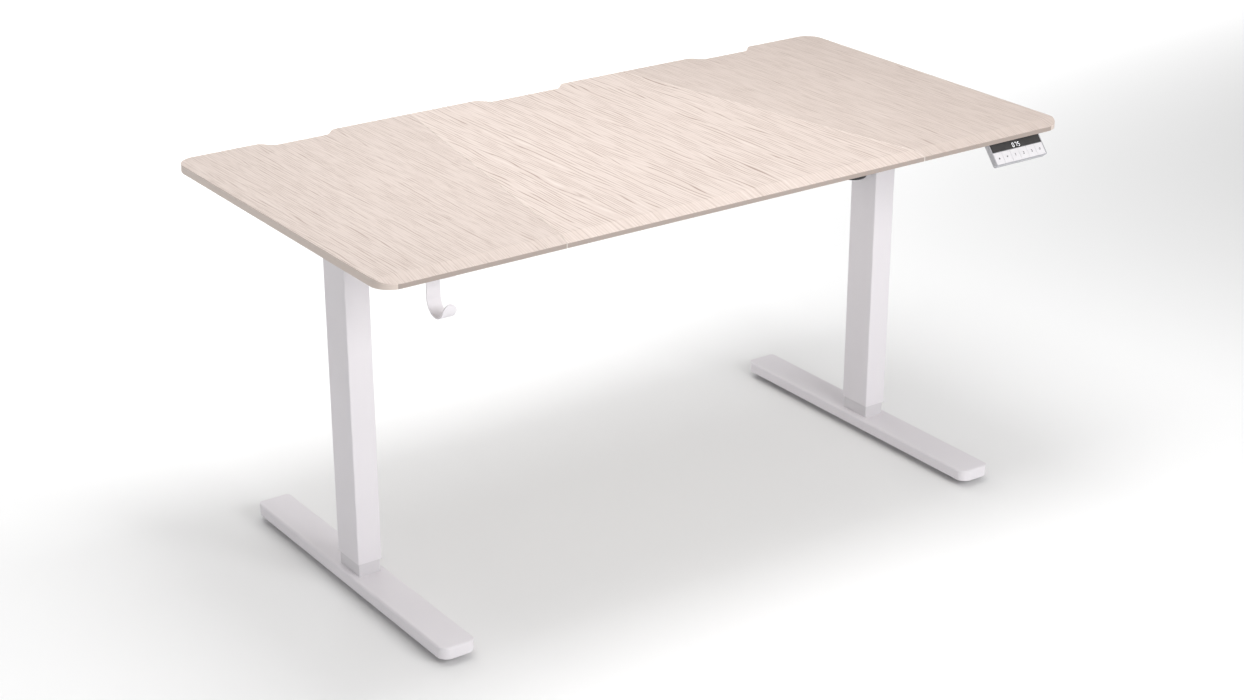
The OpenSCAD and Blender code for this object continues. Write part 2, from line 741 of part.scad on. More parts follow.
// ---- hook ----
module hook_profile() {
  t = hook_t / 2;
  translate([hook_y - t, hook_z]) square([2 * t, under - hook_z]);
  translate([hook_y - 2 * hook_r - t, hook_z]) square([2 * t, tip_rise]);
  translate([hook_y - 51, under - 2 * t]) square([51 + t, 2 * t]);
  translate([hook_y - hook_r, hook_z]) difference() {
    circle(hook_r + t);
    circle(hook_r - t);
    translate([-2 * hook_r, 0]) square(4 * hook_r);
  }
}

// What the strip is trimmed to: full width at the back and above, a round-ended tongue at the tip
module hook_trim() {
  split = hook_y - 1.6 * hook_r;
  tongue_z = hook_z + tip_rise - hook_w / 2;
  translate([-hook_w / 2, split, hook_z - 60]) cube([hook_w, -split, 130]);
  translate([-hook_w / 2, split - 20, hook_z + 20]) cube([hook_w, 20.5, 50]);
  translate([0, split + 0.5, 0]) rotate([90, 0, 0]) linear_extrude(20.5) {
    translate([-hook_w / 2, tongue_z - 50]) square([hook_w, 50]);
    translate([0, tongue_z]) circle(hook_w / 2);
  }
}

module headphone_hook() {
  color(white_paint) translate([-hook_x, 0, 0]) difference() {
    intersection() {
      along_x(-hook_w, hook_w) hook_profile();
      hook_trim();
    }
    for (dy = [-16, -36]) translate([0, hook_y + dy, under - hook_t - 1]) cylinder(r = 2.4, h = hook_t + 2);
  }
}

tabletop_left();
tabletop_middle();
tabletop_right();
joining_plates();
joint_dowels();
side_bracket_left();
side_bracket_right();
bracket_pads();
wood_screws();
beam_outer_rails();
beam_inner_rails();
beam_screws();
bracket_bolts();
foot_left();
foot_right();
foot_bolts_left();
foot_bolts_right();
glide_left_front();
glide_left_rear();
glide_right_front();
glide_right_rear();
inner_tube_left();
inner_tube_right();
screw_nut_left();
screw_nut_right();
slide_cap_left();
slide_cap_right();
outer_tube_left();
outer_tube_right();
guide_collars();
gearbox_left();
gearbox_right();
screw_bearings();
lead_screw_left();
lead_screw_right();
hex_rod();
rod_gears();
drive_wheel();
drive_case();
reducer_case();
motor_can();
motor_end_cap();
motor_pinion();
control_box_cover();
control_box_base();
mains_inlet();
handset_case();
handset_display();
handset_board();
key_up();
key_down();
key_one();
key_two();
key_three();
key_save();
handset_lead();
motor_lead();
lead_clips();
headphone_hook();
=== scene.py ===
import json
from math import cos, pi, radians, sin

import bmesh
import bpy
from mathutils import Matrix, Vector


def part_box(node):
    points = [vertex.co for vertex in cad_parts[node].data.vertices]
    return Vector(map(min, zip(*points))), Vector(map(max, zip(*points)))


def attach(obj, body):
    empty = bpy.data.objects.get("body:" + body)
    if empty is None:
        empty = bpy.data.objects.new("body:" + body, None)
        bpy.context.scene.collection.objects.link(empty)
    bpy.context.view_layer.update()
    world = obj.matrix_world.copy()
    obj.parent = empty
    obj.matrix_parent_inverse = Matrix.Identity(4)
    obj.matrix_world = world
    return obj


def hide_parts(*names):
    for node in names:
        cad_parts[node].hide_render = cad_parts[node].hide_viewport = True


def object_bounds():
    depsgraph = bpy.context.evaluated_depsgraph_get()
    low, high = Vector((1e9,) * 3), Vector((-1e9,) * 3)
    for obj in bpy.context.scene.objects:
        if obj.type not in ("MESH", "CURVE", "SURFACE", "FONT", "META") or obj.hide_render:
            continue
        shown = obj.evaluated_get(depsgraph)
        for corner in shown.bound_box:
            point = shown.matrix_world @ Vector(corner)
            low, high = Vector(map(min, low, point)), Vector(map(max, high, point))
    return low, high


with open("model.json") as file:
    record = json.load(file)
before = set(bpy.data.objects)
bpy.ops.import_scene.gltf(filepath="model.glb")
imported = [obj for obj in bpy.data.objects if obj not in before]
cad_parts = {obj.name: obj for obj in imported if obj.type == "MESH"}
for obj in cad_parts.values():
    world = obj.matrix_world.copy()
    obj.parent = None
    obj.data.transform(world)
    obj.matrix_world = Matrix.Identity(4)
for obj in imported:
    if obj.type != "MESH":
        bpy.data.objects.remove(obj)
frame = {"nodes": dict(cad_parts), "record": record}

# Looks for a height adjustable standing desk. Lengths are in metres; MM turns millimetres into them.
MM = 0.001
CAD_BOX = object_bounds()
SCENE = bpy.context.scene
SLOT_OF = {part["node"]: part["material_slot"] for part in frame["record"]["subparts"]}
BODY_OF = {node: body for body, nodes in frame["record"]["behaviour"]["bodies"].items() for node in nodes}

# The tabletop's outline and its two slanting seams
CORNER_R = 38 * MM
FRONT_SLOPE_W = 28 * MM
FRONT_SLOPE_DROP = 7.3 * MM
FRONT_CREASE_Y = CAD_BOX[0][1] + FRONT_SLOPE_W
SEAM_X = 324 * MM
SEAM_SLOPE = 0.19
SEAM_GAP = 0.1 * MM
NOTCH_DEPTH = 24 * MM
NOTCH_LIP = 3 * MM
SEALED_W = 1.2 * MM
EDGE_EASE = 0.7 * MM
NOTCHES = [(500 * MM, 158 * MM, 100 * MM), (0, 204 * MM, 146 * MM), (-500 * MM, 158 * MM, 100 * MM)]

# The handset's tilted face
HANDSET_TILT = radians(51)
KEY_THICKNESS = 2.2 * MM
WINDOW_THICKNESS = 1.6 * MM
DIGITS_UP = 6.6 * MM
SYMBOL_STROKE_MM = 0.85
DIGIT_STROKE_MM = 0.9

# Edges of CAD parts that show, with the width of the easing on each, in millimetres
EASE_MM = [
    ("foot_bolts", 0.4), ("foot", 0), ("inner_tube", 0.35), ("outer_tube", 0.4), ("glide", 0.6),
    ("side_bracket", 0.5), ("beam_outer_rails", 0.4), ("beam_inner_rails", 0.4), ("beam_screws", 0.5),
    ("joining_plates", 0.3), ("bracket_bolts", 0.4), ("bracket_pads", 0.3), ("gearbox", 0.8),
    ("drive_case", 0.9), ("reducer_case", 0.6), ("motor_can", 0.4), ("motor_end_cap", 0.3),
    ("control_box_cover", 0.8), ("control_box_base", 0.6), ("mains_inlet", 0.3), ("handset_case", 0.5),
    ("handset_display", 0.15), ("key", 0.3), ("lead_clips", 0.4), ("headphone_hook", 0.5),
]

# The leads' radii, and their routes under the top in millimetres, as in the CAD
HANDSET_LEAD_R = 2 * MM
MOTOR_LEAD_R = 2.6 * MM
LEAD_Z = 731.8
HANDSET_ROUTE = [
    (603.5, -334.5, 724), (603.5, -322, 724), (603, -310, 725), (599, -300, 728.5), (588, -294, LEAD_Z),
    (570, -290, LEAD_Z), (545, -285, LEAD_Z), (500, -268, LEAD_Z), (450, -245, LEAD_Z), (390, -222, LEAD_Z),
    (320, -205, LEAD_Z), (270, -180, LEAD_Z), (230, -130, LEAD_Z), (190, -50, LEAD_Z), (150, 30, LEAD_Z),
    (124, 72, LEAD_Z), (112, 84, 729), (108, 90, 725.5), (107, 94, 725), (107, 97, 725),
]
MOTOR_ROUTE = [
    (527.9, 12, 722), (518, 12, 722), (505, 16, 724), (490, 26, 728), (476, 44, 729.5), (458, 64, 729.5),
    (430, 84, 729.5), (380, 98, 729.5), (320, 106, 729.5), (260, 110, 729), (235, 114, 727),
    (215, 120, 724.5), (203, 123, 724), (192, 123, 724),
]


# ---- meshes ----
def mesh_of(bm, name, smooth_below=30):
    """The bmesh as a mesh that is smooth except at edges sharper than smooth_below degrees."""
    bmesh.ops.recalc_face_normals(bm, faces=bm.faces)
    mesh = bpy.data.meshes.new(name)
    bm.to_mesh(mesh)
    bm.free()
    for face in mesh.polygons:
        face.use_smooth = True
    mesh.set_sharp_from_angle(angle=radians(smooth_below))
    return mesh


def add_piece(name, data, materials, body):
    """A new piece that rides on a body."""
    for material in materials:
        data.materials.append(material)
    piece = bpy.data.objects.new(name, data)
    SCENE.collection.objects.link(piece)
    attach(piece, body)
    return piece


def ease_edges(piece, width, sharper_than=35):
    """Rounds off the piece's sharp edges."""
    bevel = piece.modifiers.new("eased_edges", "BEVEL")
    bevel.width = width
    bevel.segments = 2
    bevel.limit_method = "ANGLE"
    bevel.angle_limit = radians(sharper_than)
    bevel.harden_normals = True


def refined(node, material, width):
    """A copy of a CAD node that stands for it. With a width, flat faces are made whole and edges eased."""
    source = frame["nodes"][node].data
    bm = bmesh.new()
    corners = [bm.verts.new(v.co) for v in source.vertices]
    for face in source.polygons:
        bm.faces.new([corners[i] for i in face.vertices])
    bmesh.ops.remove_doubles(bm, verts=bm.verts, dist=0.002 * MM)
    if width:
        bmesh.ops.dissolve_limit(bm, angle_limit=radians(0.4), verts=bm.verts, edges=bm.edges)
    mesh = mesh_of(bm, node)
    piece = add_piece(node + "_finished", mesh, [material], BODY_OF[node])
    if width:
        ease_edges(piece, width)
    else:
        weighted = piece.modifiers.new("flat_faces_stay_flat", "WEIGHTED_NORMAL")
        weighted.keep_sharp = True
    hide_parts(node)


def ribbon(bm, points, width):
    """A flat strip of even width along points in the XY plane."""
    rows = []
    for i, point in enumerate(points):
        before = (point - points[i - 1]).normalized() if i else (points[1] - point).normalized()
        after = (points[i + 1] - point).normalized() if i < len(points) - 1 else before
        along = (before + after).normalized()
        side = Vector((-along.y, along.x, 0)) * (width / 2 / max(0.4, along.dot(before)))
        rows.append((bm.verts.new(point + side), bm.verts.new(point - side)))
    for a, b in zip(rows, rows[1:]):
        bm.faces.new((a[0], a[1], b[1], b[0]))


def arc(centre, radius, start, end, count=10):
    """Points along an arc in the XY plane, angles in degrees."""
    turns = [radians(start + (end - start) * i / count) for i in range(count + 1)]
    return [centre + radius * Vector((cos(t), sin(t), 0)) for t in turns]


def stack(bm, outlines):
    """A closed solid through outlines that have the same number of points, capped at both ends."""
    rings = [[bm.verts.new(p) for p in outline] for outline in outlines]
    for a, b in zip(rings, rings[1:]):
        for i in range(len(a)):
            j = (i + 1) % len(a)
            bm.faces.new((a[i], a[j], b[j], b[i]))
    bm.faces.new(reversed(rings[0]))
    bm.faces.new(rings[-1])


def lathe(bm, profile, place, count=32):
    """Turns a profile of (radius, height) pairs about the local Z axis of place."""
    turns = [2 * pi * i / count for i in range(count)]
    stack(bm, [[place @ Vector((r * cos(t), r * sin(t), h)) for t in turns] for r, h in profile])


# ---- materials ----
class Paint:
    """Adds shader nodes to one material, one short call each."""

    def __init__(self, name, roughness, metallic=0.0, specular=0.5):
        self.material = bpy.data.materials.new(name)
        self.material.use_nodes = True
        self.tree = self.material.node_tree
        self.shader = self.tree.nodes["Principled BSDF"]
        self.shader.inputs["Roughness"].default_value = roughness
        self.shader.inputs["Metallic"].default_value = metallic
        self.shader.inputs["Specular IOR Level"].default_value = specular
        self.place = self.add("TexCoord").outputs["Object"]

    def add(self, kind, values=None, **settings):
        node = self.tree.nodes.new("ShaderNode" + kind)
        for key, value in settings.items():
            setattr(node, key, value)
        for socket, value in (values or {}).items():
            if isinstance(value, bpy.types.NodeSocket):
                self.tree.links.new(value, node.inputs[socket])
            else:
                node.inputs[socket].default_value = value
        return node

    def noise(self, per_metre, detail=2.0, shift=0.0):
        """Noise with per_metre features along X, Y and Z."""
        values = {"Vector": self.place, "Scale": per_metre, "Location": (shift, shift, shift)}
        spot = self.add("Mapping", values)
        return self.add("TexNoise", {"Vector": spot.outputs[0], "Scale": 1.0, "Detail": detail}).outputs[0]

    def between(self, value, low, high):
        """0 at low, 1 at high."""
        return self.add("MapRange", {"Value": value, "From Min": low, "From Max": high}).outputs[0]

    def maths(self, operation, a, b):
        """One step of arithmetic on sockets or plain numbers."""
        return self.add("Math", {0: a, 1: b}, operation=operation).outputs[0]

    def mix(self, share, a, b):
        """Colour a where share is 0, colour b where it is 1."""
        return self.add("Mix", {0: share, 6: a, 7: b}, data_type="RGBA").outputs[2]

    def colour(self, value):
        self.tree.links.new(value, self.shader.inputs["Base Color"])

    def roughness(self, value, low, high):
        spread = self.add("MapRange", {"Value": value, "To Min": low, "To Max": high})
        self.tree.links.new(spread.outputs[0], self.shader.inputs["Roughness"])

    def relief(self, height, depth, strength=1.0):
        bump = self.add("Bump", {"Height": height, "Distance": depth, "Strength": strength})
        self.tree.links.new(bump.outputs[0], self.shader.inputs["Normal"])


def shade(colour, factor):
    """The colour made lighter or darker, with full alpha."""
    return (*[min(1.0, c * factor) for c in colour], 1.0)


def surface(name, colour, roughness, metallic=0.0, specular=0.5, mottle=0.04, patch=(14, 14, 14),
            grain=(1100, 1100, 1100), depth=0.03 * MM):
    """A plain finish: faint mottling, a fine texture and a gloss that varies a little."""
    paint = Paint(name, roughness, metallic, specular)
    patches = paint.noise(patch, 3.0)
    fine = paint.noise(grain, 2.0, shift=3.0)
    paint.colour(paint.mix(patches, shade(colour, 1 - mottle), shade(colour, 1 + mottle)))
    paint.roughness(fine, roughness - 0.06, roughness + 0.06)
    paint.relief(fine, depth)
    return paint.material


VENEER_COLOUR = (0.535, 0.455, 0.412)
VEIN_COLOUR = (0.24, 0.175, 0.145)
WASH_COLOUR = (0.615, 0.545, 0.505)


def veneer(name, tone, veins, pores, spacing, shift):
    """Whitewashed open grain: thin veins that run front to back, wander a little, and break into streaks.

    tone scales the board's colour; veins and pores say how strong each shows.
    """
    paint = Paint(name, 0.55, specular=0.35)
    parts = paint.add("SeparateXYZ", {0: paint.place})
    wander = paint.noise((0.16 / spacing, 2.6, 1), 2.0, shift)
    count = paint.maths("MULTIPLY", parts.outputs[0], 1 / spacing)
    phase = paint.maths("ADD", count, paint.maths("MULTIPLY", wander, 6.0))
    wave = paint.maths("MULTIPLY", paint.maths("PINGPONG", phase, 0.5), 2.0)
    streaks = paint.noise((0.9 / spacing, 11, 1), 3.0, shift + 5)
    fine = paint.noise((3.2 / spacing, 20, 1), 3.0, shift + 9)
    clouds = paint.noise((5, 2.2, 1), 2.0, shift + 13)
    on_flat = paint.add("MapRange", {"Value": parts.outputs[1], "From Min": FRONT_CREASE_Y - 3 * MM,
                                     "From Max": FRONT_CREASE_Y + 3 * MM, "To Min": 0.4, "To Max": 1.0})
    vein_line = paint.maths("MULTIPLY", paint.between(wave, 0.30, 0.08), paint.between(streaks, 0.40, 0.55))
    vein_line = paint.maths("MULTIPLY", vein_line, on_flat.outputs[0])
    wash_line = paint.maths("MULTIPLY", paint.between(wave, 0.60, 0.95), paint.between(streaks, 0.60, 0.45))
    pore_line = paint.between(fine, 0.45, 0.34)
    dark = shade(VEIN_COLOUR, tone)
    ground = paint.mix(clouds, shade(VENEER_COLOUR, 0.975 * tone), shade(VENEER_COLOUR, 1.02 * tone))
    pored = paint.mix(paint.maths("MULTIPLY", pore_line, pores), ground, dark)
    veined = paint.mix(paint.maths("MULTIPLY", vein_line, veins), pored, dark)
    paint.colour(paint.mix(paint.maths("MULTIPLY", wash_line, 0.8 * veins), veined, shade(WASH_COLOUR, tone)))
    height = paint.maths("SUBTRACT", wash_line, paint.maths("ADD", vein_line, pore_line))
    paint.relief(height, 0.12 * MM, 0.4)
    return paint.material


def edge_band(name, colour):
    """Printed edge band with a faint lengthwise grain."""
    paint = Paint(name, 0.5, specular=0.4)
    lines = paint.noise((18, 18, 900), 3.0)
    paint.colour(paint.mix(lines, shade(colour, 0.93), shade(colour, 1.07)))
    paint.relief(lines, 0.05 * MM)
    return paint.material


def pcb(name):
    """Green solder mask with pale tracks."""
    paint = Paint(name, 0.35)
    cells = paint.add("TexBrick", {"Vector": paint.place, "Scale": 160.0, "Mortar Size": 0.03})
    paint.colour(paint.mix(cells.outputs[1], (0.02, 0.16, 0.07, 1.0), (0.05, 0.28, 0.13, 1.0)))
    return paint.material


def lit(name, colour, strength):
    """A lit display segment, a little uneven across its length."""
    paint = Paint(name, 0.4)
    uneven = paint.noise((300, 300, 300))
    glow = paint.mix(uneven, shade(colour, 0.92), shade(colour, 1.0))
    paint.colour(glow)
    paint.tree.links.new(glow, paint.shader.inputs["Emission Color"])
    paint.shader.inputs["Emission Strength"].default_value = strength
    return paint.material


def beech(name):
    """Plain beech with its grain along X."""
    paint = Paint(name, 0.6)
    lines = paint.noise((60, 700, 700), 3.0)
    paint.colour(paint.mix(lines, (0.50, 0.34, 0.19, 1.0), (0.68, 0.50, 0.31, 1.0)))
    return paint.material


POWDER_WHITE = (0.81, 0.78, 0.81)
MATERIALS = {
    "dowel_wood": beech("beech"),
    "white_paint": surface("white_powder_coat", POWDER_WHITE, 0.5, mottle=0.012, depth=0.05 * MM),
    "zinc_steel": surface("zinc_plate", (0.62, 0.63, 0.66), 0.34, 1.0, mottle=0.12, patch=(90, 90, 90)),
    "bright_steel": surface("ground_steel", (0.58, 0.58, 0.60), 0.24, 1.0, mottle=0.06,
                            grain=(300, 300, 4000), depth=0.02 * MM),
    "black_rubber": surface("black_rubber", (0.028, 0.028, 0.030), 0.72, specular=0.3, mottle=0.15),
    "slide_plastic": surface("natural_acetal", (0.72, 0.70, 0.63), 0.42, mottle=0.03),
    "black_housing": surface("black_moulding", (0.022, 0.022, 0.025), 0.48, mottle=0.1, depth=0.06 * MM),
    "black_metal": surface("black_enamel", (0.018, 0.018, 0.020), 0.36, mottle=0.1, grain=(260, 260, 260)),
    "handset_shell": surface("handset_shell", (0.47, 0.47, 0.50), 0.42, mottle=0.03, depth=0.04 * MM),
    "display_window": surface("display_window", (0.05, 0.049, 0.051), 0.16, mottle=0.08, depth=0.002 * MM),
    "circuit_board": pcb("circuit_board"),
    "key_cap": surface("key_cap", (0.88, 0.86, 0.89), 0.36, mottle=0.015, depth=0.015 * MM),
    "lead_sheath": surface("lead_sheath", (0.024, 0.024, 0.026), 0.55, specular=0.4, mottle=0.12),
}
VENEERS = {
    "tabletop_left": veneer("veneer_left", 0.95, 0.62, 0.38, 5.2 * MM, 11),
    "tabletop_middle": veneer("veneer_middle", 1.0, 0.85, 0.12, 7.4 * MM, 37),
    "tabletop_right": veneer("veneer_right", 0.93, 0.55, 0.34, 5.4 * MM, 71),
}
SIDE_BAND = edge_band("side_band", (0.72, 0.62, 0.56))
# The front band is the same edge banding as the side band, painted darker as the shade that the front face
# gets
FRONT_BAND_PAINTED_SHADE = edge_band("front_band_painted_shade", (0.40, 0.335, 0.30))
SEALED_END = edge_band("sealed_end", (0.70, 0.64, 0.60))
BACKING = surface("backing_laminate", (0.70, 0.66, 0.61), 0.6, mottle=0.03, grain=(600, 600, 600))
# The inner tubes' coat is the powder white painted greyer as shade, standing in for the contact shadow where
# the outer tubes end over them
INNER_TUBE_PAINTED_SHADE = surface("inner_tube_powder_coat_painted_shade", (0.70, 0.677, 0.70), 0.45, mottle=0.012, depth=0.05 * MM)
KEY_PRINT = surface("key_print", (0.04, 0.04, 0.045), 0.5, mottle=0.1)
LIT_WHITE = lit("lit_segment", (0.95, 0.96, 1.0), 1.1)


# ---- tabletop ----
def board_outline(low, high):
    """The whole top's outline, anticlockwise from the front left corner."""
    points = []
    for sx, sy, start in [(-1, -1, 180), (1, -1, 270), (1, 1, 0), (-1, 1, 90)]:
        x = (high.x if sx > 0 else low.x) - sx * CORNER_R
        y = (high.y if sy > 0 else low.y) - sy * CORNER_R
        if (sx, sy) == (-1, 1):
            points += notch_points(high.y)
        points += arc(Vector((x, y, low.z)), CORNER_R, start, start + 90, 16)
    return [Vector((p.x, p.y, low.z)) for p in points]


def notch_points(rear):
    """The rear edge's notches, from right to left, each with soft S-shaped ends."""
    points = []
    for centre, open_w, floor_w in NOTCHES:
        for side in (1, -1):
            steps = [i / 8 for i in range(9)]
            for t in steps if side > 0 else reversed(steps):
                half = open_w / 2 + NOTCH_LIP + t * (floor_w - open_w - NOTCH_LIP) / 2
                points.append(Vector((centre + side * half, rear - NOTCH_DEPTH * t * t * (3 - 2 * t), 0)))
    return points


def cut(bm, point, normal, keep_inside=None):
    """Cuts along a plane, and closes the cut if one side is taken away."""
    geometry = bm.verts[:] + bm.edges[:] + bm.faces[:]
    found = bmesh.ops.bisect_plane(bm, geom=geometry, plane_co=point, plane_no=normal, dist=0.001 * MM,
                                   clear_outer=keep_inside is True, clear_inner=keep_inside is False)
    if keep_inside is not None:
        edges = [e for e in found["geom_cut"] if isinstance(e, bmesh.types.BMEdge)]
        bmesh.ops.edgenet_fill(bm, edges=edges)


def seam_plane(side, offset):
    """A point on the seam's plane, moved outward by offset, and the plane's outward normal."""
    return Vector((side * (SEAM_X + offset), 0, 0)), Vector((side, SEAM_SLOPE, 0)).normalized()


def board(node, sides):
    """One of the three boards. sides says, for each seam it meets, which seam and if it is inside of it."""
    low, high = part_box("tabletop_left")
    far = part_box("tabletop_right")[1]
    bm = bmesh.new()
    face = bm.faces.new([bm.verts.new(p) for p in board_outline(low, far)])
    grown = bmesh.ops.extrude_face_region(bm, geom=[face])
    moved = [v for v in grown["geom"] if isinstance(v, bmesh.types.BMVert)]
    bmesh.ops.translate(bm, verts=moved, vec=Vector((0, 0, high.z - low.z)))
    crease = Vector((0, low.y + FRONT_SLOPE_W, high.z))
    cut(bm, crease, Vector((0, -FRONT_SLOPE_DROP, FRONT_SLOPE_W)).normalized(), keep_inside=True)
    for side, inside in sides:
        point, normal = seam_plane(side, -SEAM_GAP if inside else SEAM_GAP)
        cut(bm, point, normal, keep_inside=inside)
        cut(bm, *seam_plane(side, -SEALED_W if inside else SEALED_W))
    bm.normal_update()
    bmesh.ops.recalc_face_normals(bm, faces=bm.faces)
    for face in bm.faces:
        face.material_index = board_material(face, sides)
    mesh = mesh_of(bm, node, 12)
    materials = [VENEERS[node], SIDE_BAND, FRONT_BAND_PAINTED_SHADE, SEALED_END, BACKING]
    piece = add_piece(node + "_board", mesh, materials, BODY_OF[node])
    ease_edges(piece, EDGE_EASE)
    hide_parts(node)


def board_material(face, sides):
    """Which of a board's finishes a face has: veneer, side band, front band (the band darkened as painted
    shade), sealed end or backing.
    """
    if face.normal.z > 0.5:
        return 0
    if face.normal.z < -0.5:
        return 4
    middle = face.calc_center_median()
    for side, _ in sides:
        point, normal = seam_plane(side, 0)
        if abs((middle - point).dot(normal)) < SEALED_W:
            return 3
    # Faces that look straight to the front get the band's painted-shade copy
    return 2 if face.normal.y < -0.98 else 1


board("tabletop_left", [(-1, False)])
board("tabletop_middle", [(-1, True), (1, True)])
board("tabletop_right", [(1, False)])


# ---- CAD parts: the ones that show get eased edges, and every one gets its finish ----
for node, thing in frame["nodes"].items():
    if node in VENEERS or node in ("handset_lead", "motor_lead"):
        continue
    # Inner tubes take the greyer coat: painted shade under the outer tubes
    material = INNER_TUBE_PAINTED_SHADE if node.startswith("inner_tube") else MATERIALS[SLOT_OF[node]]
    width = next((mm for start, mm in EASE_MM if node.startswith(start)), None)
    if width is not None:
        refined(node, material, width * MM)
    else:
        thing.data.materials.clear()
        thing.data.materials.append(material)


# ---- handset: symbols on the keys and digits in the window ----
def face_frame(node, thickness):
    """A tilted handset part's outer face: origin at its middle, X right, Y up the face, Z out of it."""
    low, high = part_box(node)
    height = (high.y - low.y - thickness * sin(HANDSET_TILT)) / cos(HANDSET_TILT)
    middle = Vector(((low.x + high.x) / 2, low.y + height / 2 * cos(HANDSET_TILT),
                     high.z - height / 2 * sin(HANDSET_TILT)))
    return Matrix.Translation(middle) @ Matrix.Rotation(HANDSET_TILT, 4, "X"), height


def inlay(name, place, lines, width, fills, material, body):
    """Thin raised strokes and filled shapes on a face, in millimetres in the face's own frame."""
    bm = bmesh.new()
    for line in lines:
        ribbon(bm, [Vector(p) * MM for p in line], width * MM)
    for shape in fills:
        bm.faces.new([bm.verts.new(Vector(p) * MM) for p in shape])
    bmesh.ops.recalc_face_normals(bm, faces=bm.faces)
    grown = bmesh.ops.extrude_face_region(bm, geom=bm.faces[:])
    moved = [v for v in grown["geom"] if isinstance(v, bmesh.types.BMVert)]
    bmesh.ops.translate(bm, verts=moved, vec=Vector((0, 0, 0.09 * MM)))
    bm.transform(place @ Matrix.Translation((0, 0, -0.02 * MM)))
    return add_piece(name, mesh_of(bm, name), [material], body)


def glyph_lines(name):
    """Strokes of a key's printed symbol, about 4.6 mm tall."""
    top = Vector((0, 1.1, 0))
    bottom = Vector((0, -1.1, 0))
    if name == "key_one":
        return [[(-0.9, 1.4, 0), (0.15, 2.3, 0), (0.15, -2.3, 0)]]
    if name == "key_two":
        return [arc(top, 1.2, 160, -40) + [Vector((-1.3, -2.2, 0)), Vector((1.35, -2.2, 0))]]
    if name == "key_three":
        return [arc(top, 1.15, 150, -90) + arc(bottom, 1.2, 85, -150)]
    if name == "key_save":
        return [arc(Vector((0, 0, 0)), 1.7, 0, 360, 24)]
    return []


def glyph_fills(name):
    """The filled triangle on the up and down keys."""
    if name == "key_up":
        return [[(-2.1, -1.6, 0), (2.1, -1.6, 0), (0, 2.0, 0)]]
    if name == "key_down":
        return [[(-2.1, 1.6, 0), (0, -2.0, 0), (2.1, 1.6, 0)]]
    return []


for key in ("key_up", "key_down", "key_one", "key_two", "key_three", "key_save"):
    place, _ = face_frame(key, KEY_THICKNESS)
    strokes, fills = glyph_lines(key), glyph_fills(key)
    inlay(key + "_symbol", place, strokes, SYMBOL_STROKE_MM, fills, KEY_PRINT, BODY_OF[key])

# The display's digits, in millimetres, and the bars that each one lights
DIGIT_W = 3.8
DIGIT_H = 8.0
DIGIT_PITCH = 7.2
SEGMENTS = {"0": "abcdef", "5": "acdfg", "7": "abc"}


def digit_lines(digit, x):
    """The lit bars of one seven-segment digit, lettered clockwise from the top, with g in the middle."""
    w, h, gap = DIGIT_W / 2, DIGIT_H / 2, 0.45
    bars = {
        "a": [(x - w + gap, h, 0), (x + w - gap, h, 0)], "g": [(x - w + gap, 0, 0), (x + w - gap, 0, 0)],
        "b": [(x + w, h - gap, 0), (x + w, gap, 0)], "c": [(x + w, -gap, 0), (x + w, -h + gap, 0)],
        "d": [(x - w + gap, -h, 0), (x + w - gap, -h, 0)], "e": [(x - w, -gap, 0), (x - w, -h + gap, 0)],
        "f": [(x - w, h - gap, 0), (x - w, gap, 0)],
    }
    return [bars[segment] for segment in SEGMENTS[digit]]


def display_reading(reading):
    """The number in the display window, in lit segments."""
    place, height = face_frame("handset_display", WINDOW_THICKNESS)
    above_keys = Matrix.Translation((0, DIGITS_UP - height / 2, 0))
    lines = []
    for i, digit in enumerate(reading):
        lines += digit_lines(digit, (i - 1) * DIGIT_PITCH)
    body = BODY_OF["handset_display"]
    inlay("display_digits", place @ above_keys, lines, DIGIT_STROKE_MM, [], LIT_WHITE, body)


display_reading("075")


# ---- leads and the sleeves where they leave a housing ----
def sleeve(name, end, inward, radius):
    """A tapered, ribbed sleeve on a lead, standing on a housing's face and pointing back along the lead."""
    out = -Vector(inward).normalized()
    place = Matrix.Translation(end) @ out.to_track_quat("Z", "Y").to_matrix().to_4x4()
    profile = [(radius + 2.0 * MM, 0), (radius + 2.0 * MM, 1.5 * MM)]
    for i in range(4):
        shrink = (1.5 - 0.32 * i) * MM
        profile += [(radius + shrink, (2.0 + 2 * i) * MM), (radius + shrink, (3.0 + 2 * i) * MM)]
        profile += [(radius + shrink - 0.5 * MM, (3.2 + 2 * i) * MM)]
    bm = bmesh.new()
    lathe(bm, profile, place, 24)
    return add_piece(name, mesh_of(bm, name), [MATERIALS["lead_sheath"]], "top_frame")


def smooth_route(route, steps=8):
    """A smooth line through the route's points, whose height never goes past that of the points."""
    spots = [Vector(p) * MM for p in route]
    points = []
    for i in range(len(spots) - 1):
        a, b, c, d = spots[max(i - 1, 0)], spots[i], spots[i + 1], spots[min(i + 2, len(spots) - 1)]
        for k in range(steps):
            t = k / steps
            point = b + 0.5 * t * ((c - a) + t * ((2 * a - 5 * b + 4 * c - d) + t * (3 * b - a - 3 * c + d)))
            point.z = b.z + (c.z - b.z) * t * t * (3 - 2 * t)
            points.append(point)
    return points + [spots[-1]]


def lead(node, route, radius):
    """A round lead along the CAD's route."""
    curve = bpy.data.curves.new(node, "CURVE")
    curve.dimensions = "3D"
    curve.bevel_depth = radius
    curve.bevel_resolution = 5
    curve.use_fill_caps = True
    spline = curve.splines.new("POLY")
    points = smooth_route(route)
    spline.points.add(len(points) - 1)
    for point, place in zip(spline.points, points):
        point.co = (*place, 1.0)
    piece = add_piece(node + "_run", curve, [MATERIALS["lead_sheath"]], BODY_OF[node])
    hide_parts(node)
    bpy.context.view_layer.update()


HANDSET_SLEEVES = [
    sleeve("handset_lead_sleeve_front", Vector(HANDSET_ROUTE[0]) * MM, (0, -1, 0), HANDSET_LEAD_R),
]
MOTOR_SLEEVES = [
    sleeve("motor_lead_sleeve_motor", Vector(MOTOR_ROUTE[0]) * MM, (1, 0, 0), MOTOR_LEAD_R),
]
lead("handset_lead", HANDSET_ROUTE, HANDSET_LEAD_R)
lead("motor_lead", MOTOR_ROUTE, MOTOR_LEAD_R)


